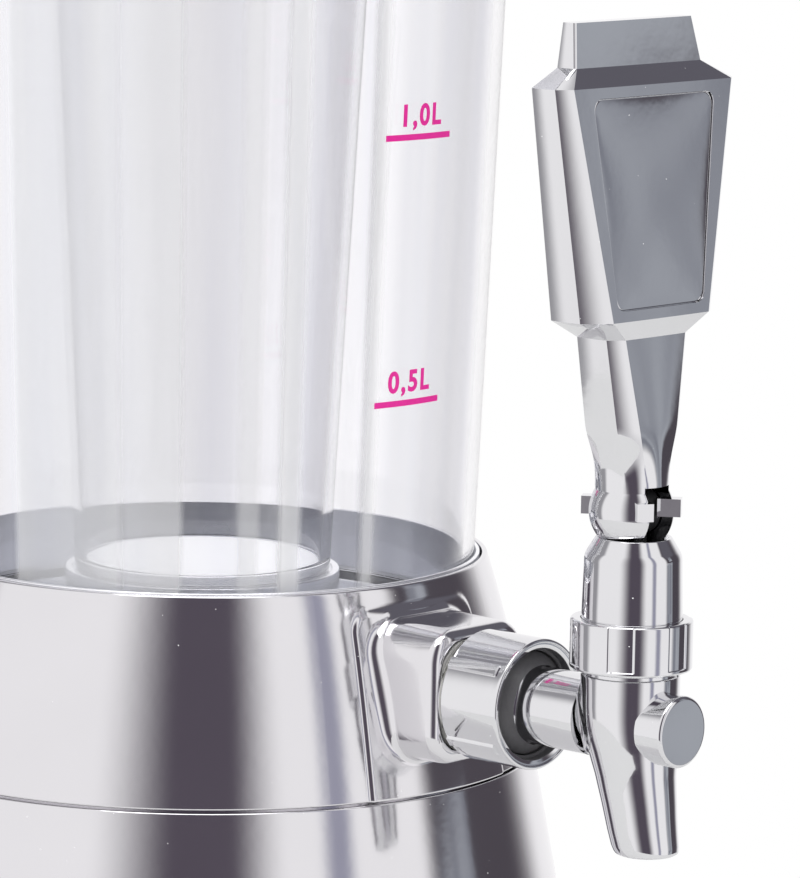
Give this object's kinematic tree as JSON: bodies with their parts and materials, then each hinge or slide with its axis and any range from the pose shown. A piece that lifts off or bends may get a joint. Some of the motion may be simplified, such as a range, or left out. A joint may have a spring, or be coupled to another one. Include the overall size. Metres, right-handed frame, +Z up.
{
  "type": "beer tower dispenser",
  "caption": "Table-top drink tower: flared silver base, collar with a lever tap, clear tapered reservoir with an inner ice tube, lid and cap.",
  "frame": {"origin": "centre of the foot ring's underside, where the tower's axis meets the table", "axes": "+Z up along the tower's axis; the tap points along -Y; +X is to the right of someone who faces the tap"},
  "size_m": [0.208, 0.2311, 0.5345],
  "materials": {
    "silver_plastic": "vacuum metallised, bright",
    "tap_chrome": "chrome plated, bright",
    "clear_plastic": "crystal clear",
    "black_plastic": "moulded",
    "natural_plastic": "moulded",
    "black_rubber": "matt",
    "grey_silicone": "matt",
    "steel": "bright",
    "cast_iron": "raw"
  },
  "bodies": {
    "tower": {"base_shell": "silver_plastic", "base_plate": "black_plastic", "foot_ring": "black_rubber", "plate_screws": "steel", "ballast_weight": "cast_iron", "ballast_screws": "steel", "tap_housing": "silver_plastic", "housing_screws": "steel", "reservoir_bowl": "silver_plastic", "bowl_screws": "steel", "tube_seal": "grey_silicone", "outlet_nipple": "natural_plastic", "outlet_seal": "grey_silicone", "shank_gasket": "black_rubber", "coupling_nut": "tap_chrome", "tap_body": "tap_chrome", "front_plug": "tap_chrome", "bonnet_ring": "tap_chrome", "stem_guide": "natural_plastic", "stem_o_ring": "black_rubber", "tap_bonnet": "tap_chrome", "return_spring": "steel"},
    "tube": {"reservoir_tube": "clear_plastic"},
    "lid": {"tower_lid": "silver_plastic"},
    "ice_insert": {"ice_tube": "clear_plastic"},
    "ice_cap": {"ice_tube_cap": "silver_plastic"},
    "valve": {"plunger": "black_plastic", "valve_seal": "black_rubber", "spring_washer": "steel"},
    "lever": {"tap_lever": "tap_chrome", "lever_pin": "steel", "handle_plate": "tap_chrome"}
  },
  "joints": [
    {"name": "lever_tilt", "type": "hinge", "parent": "valve", "child": "lever", "pos_m": [0, -0.1132, 0.2314], "axis": [1, 0, 0], "range_deg": [0, 45]},
    {"name": "plunger_lift", "type": "slide", "parent": "tower", "child": "valve", "axis": [0, 0, 1], "range_m": [0, 0.0034], "stiffness_N_per_m": 300, "springref_m": -0.003, "deforming": ["return_spring"]},
    {"name": "tube_lift", "type": "slide", "parent": "tower", "child": "tube", "axis": [0, 0, 1], "range_m": [0, 0.05]},
    {"name": "lid_lift", "type": "slide", "parent": "tube", "child": "lid", "axis": [0, 0, 1], "range_m": [0, 0.32]},
    {"name": "ice_tube_lift", "type": "slide", "parent": "lid", "child": "ice_insert", "axis": [0, 0, 1], "range_m": [0, 0.32]},
    {"name": "ice_cap_lift", "type": "slide", "parent": "ice_insert", "child": "ice_cap", "axis": [0, 0, 1], "range_m": [0, 0.05]}
  ],
  "couplings": [
    {"joint": "plunger_lift", "follows": "lever_tilt", "m_per_rad": 0.00432}
  ]
}
